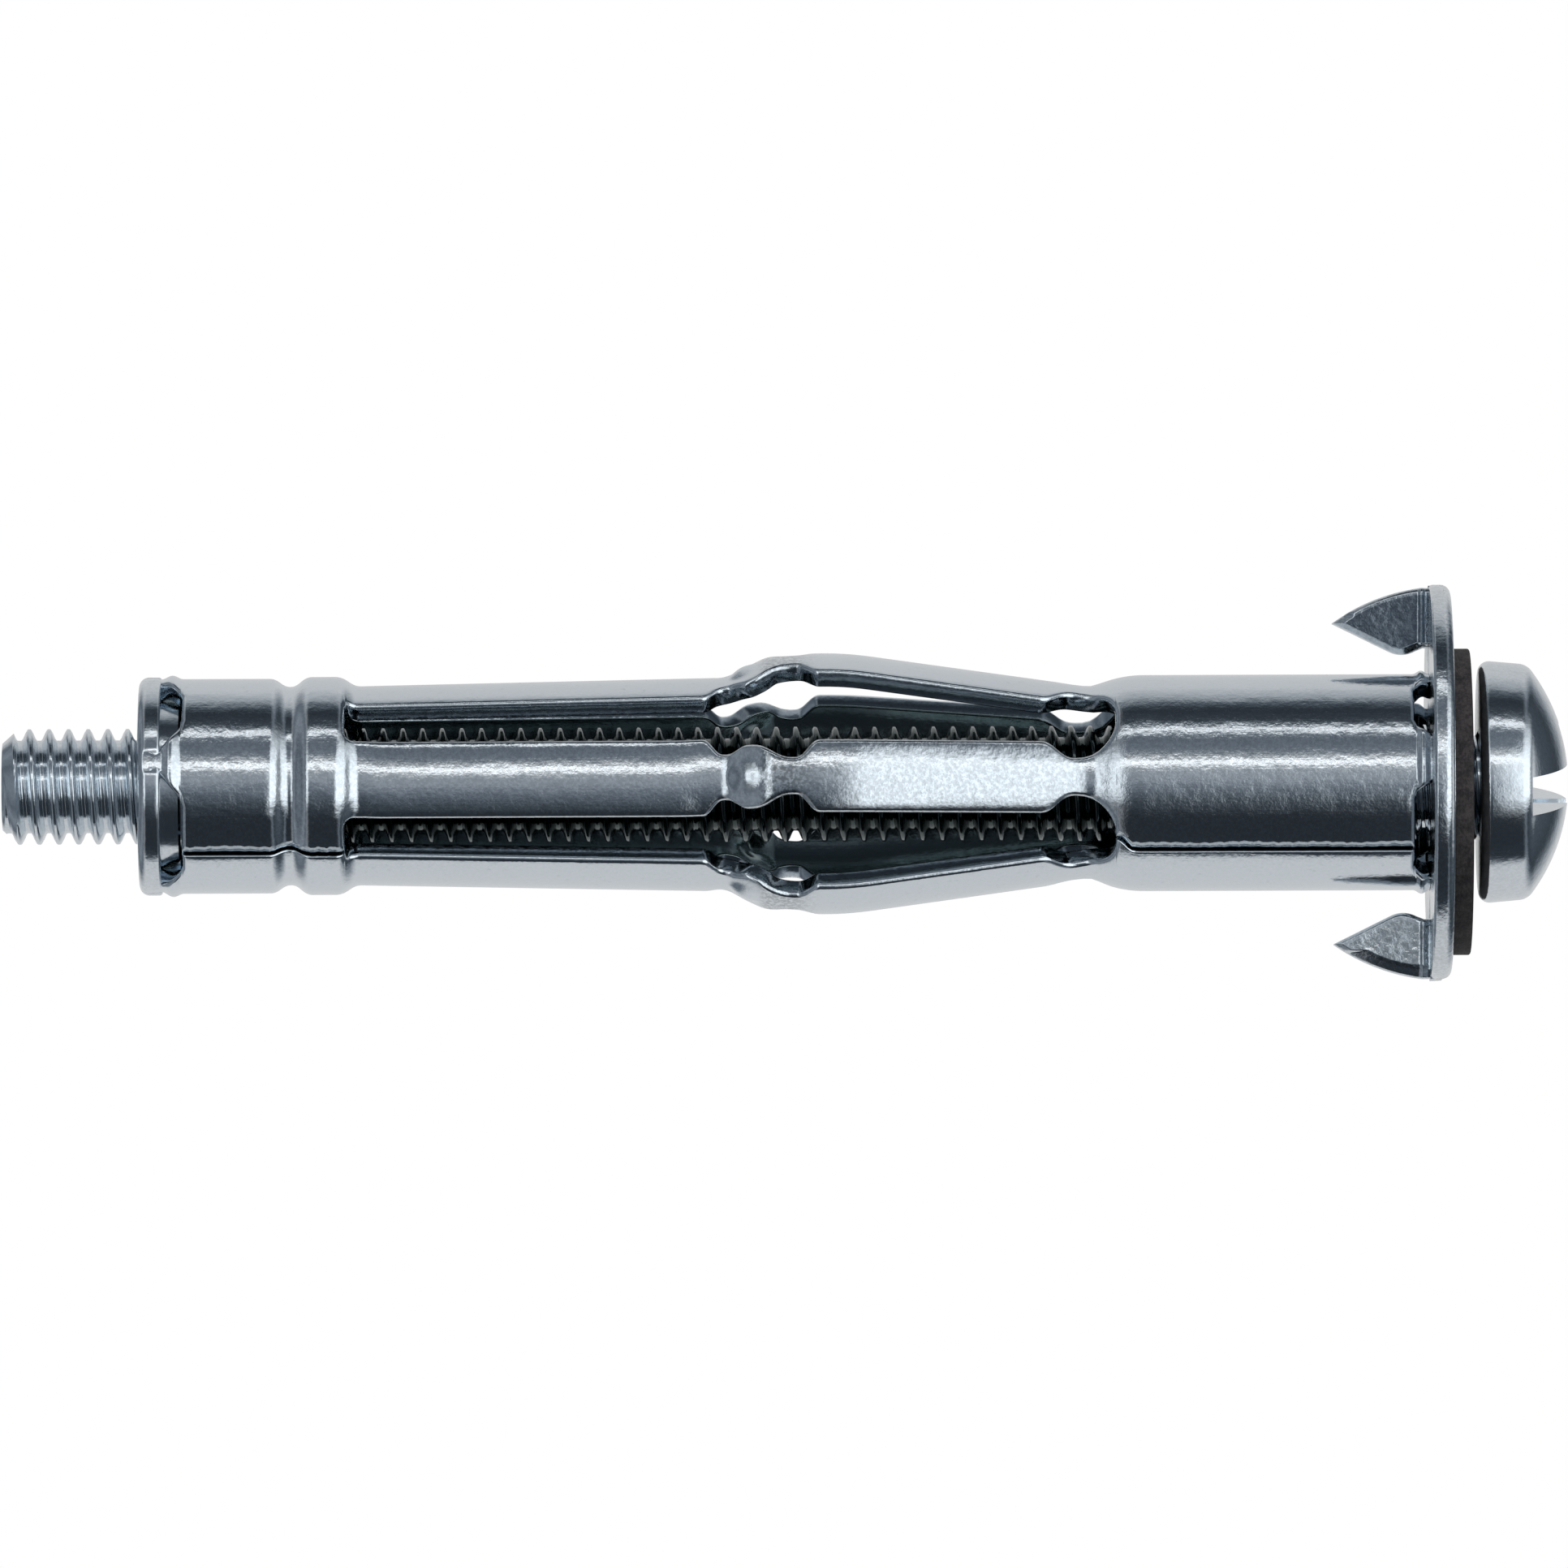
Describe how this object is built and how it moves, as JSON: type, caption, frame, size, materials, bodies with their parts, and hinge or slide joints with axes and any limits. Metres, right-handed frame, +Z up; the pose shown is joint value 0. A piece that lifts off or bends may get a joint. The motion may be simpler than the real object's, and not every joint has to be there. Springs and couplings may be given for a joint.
{
  "type": "hollow wall anchor",
  "caption": "Expanding metal anchor for hollow walls: slotted sleeve with a threaded nut, clawed flange, fibre washer and pan head machine screw.",
  "frame": {"origin": "centre of the flange's face that meets the wall", "axes": "+X along the anchor's axis from the nut to the screw head, +Z up between the claws' points, -Y towards the side where one arm of the sleeve faces"},
  "size_m": [0.0796, 0.02, 0.0201],
  "materials": {
    "sleeve_zinc": "bright blue-white zinc plate on rolled sheet",
    "nut_zinc": "bright zinc plate",
    "flange_zinc": "bright zinc plate on stamped sheet",
    "washer_fibre": "dark brown-black pressed fibre",
    "screw_zinc": "bright zinc plate"
  },
  "bodies": {
    "anchor": {"expansion_sleeve": "sleeve_zinc", "end_nut": "nut_zinc", "claw_flange": "flange_zinc"},
    "washer": {"fibre_washer": "washer_fibre"},
    "screw": {"machine_screw": "screw_zinc"}
  },
  "joints": [
    {"name": "screw_advance", "type": "slide", "parent": "anchor", "child": "washer", "axis": [1, 0, 0], "range_m": [0, 0.013]},
    {"name": "screw_turn", "type": "hinge", "parent": "washer", "child": "screw", "pos_m": [0, 0, 0], "axis": [1, 0, 0], "range_deg": [0, 4680]}
  ],
  "couplings": [
    {"joint": "screw_turn", "follows": "screw_advance", "rad_per_m": 6283.2}
  ]
}
